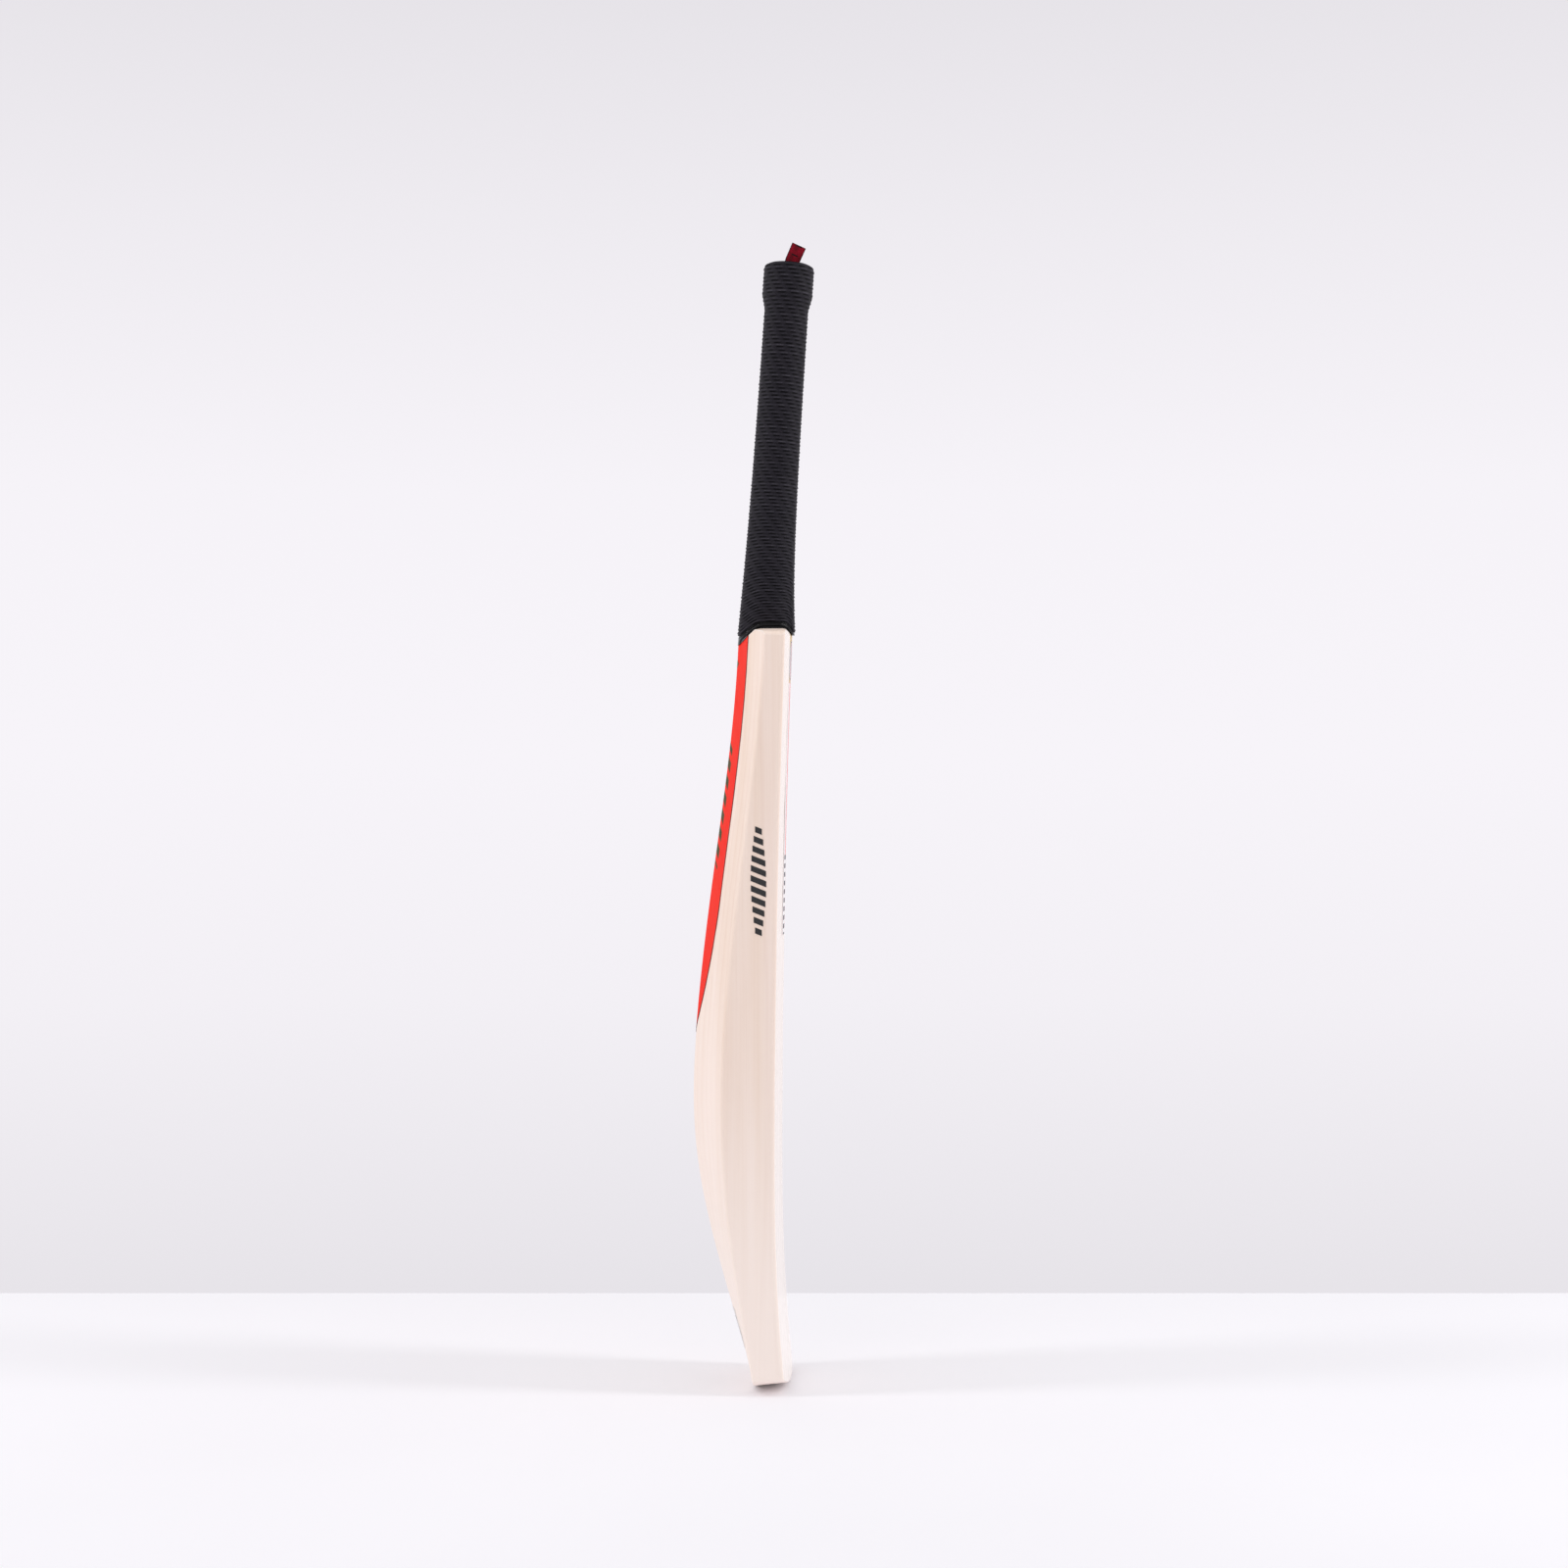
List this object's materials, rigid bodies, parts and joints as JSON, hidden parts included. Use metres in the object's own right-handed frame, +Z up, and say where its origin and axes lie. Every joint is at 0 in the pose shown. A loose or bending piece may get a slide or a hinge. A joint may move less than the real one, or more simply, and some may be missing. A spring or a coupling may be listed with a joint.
{
  "type": "cricket bat",
  "caption": "Cricket bat: a willow blade with a flat face and a ridged back, spliced to a laminated cane handle under a ribbed rubber grip.",
  "frame": {"origin": "on the handle's centre line, in the middle of the grip, where the bat is held", "axes": "+Z up along the bat as it stands on its toe, +X across the blade, -Y the way the hitting face looks; the handle leans 3.85 degrees from +Z towards -Y"},
  "size_m": [0.1084, 0.0912, 0.8594],
  "materials": {
    "willow": "smooth, lightly oiled",
    "cane": "sanded",
    "spring_rubber": "plain sheet",
    "twine": "waxed, wound",
    "neck_tape": "glossy",
    "grip_rubber": "matt, ribbed",
    "ribbon": "woven",
    "red_label": "smooth film",
    "face_label": "smooth film",
    "badge": "smooth film",
    "black_mark": "smooth film",
    "toe_label": "smooth film"
  },
  "bodies": {
    "root": {"blade": "willow", "front_cane_1": "cane", "front_cane_2": "cane", "front_cane_3": "cane", "front_cane_4": "cane", "middle_cane_1": "cane", "middle_cane_2": "cane", "middle_cane_3": "cane", "middle_cane_4": "cane", "rear_cane_1": "cane", "rear_cane_2": "cane", "rear_cane_3": "cane", "rear_cane_4": "cane", "front_rubber_spring": "spring_rubber", "rear_rubber_spring": "spring_rubber", "handle_binding": "twine", "neck_tape": "neck_tape", "grip": "grip_rubber", "ribbon_tag": "ribbon", "back_label": "red_label", "face_label": "face_label", "face_badge": "badge", "toe_label": "toe_label", "left_edge_mark": "black_mark", "right_edge_mark": "black_mark"}
  },
  "joints": []
}
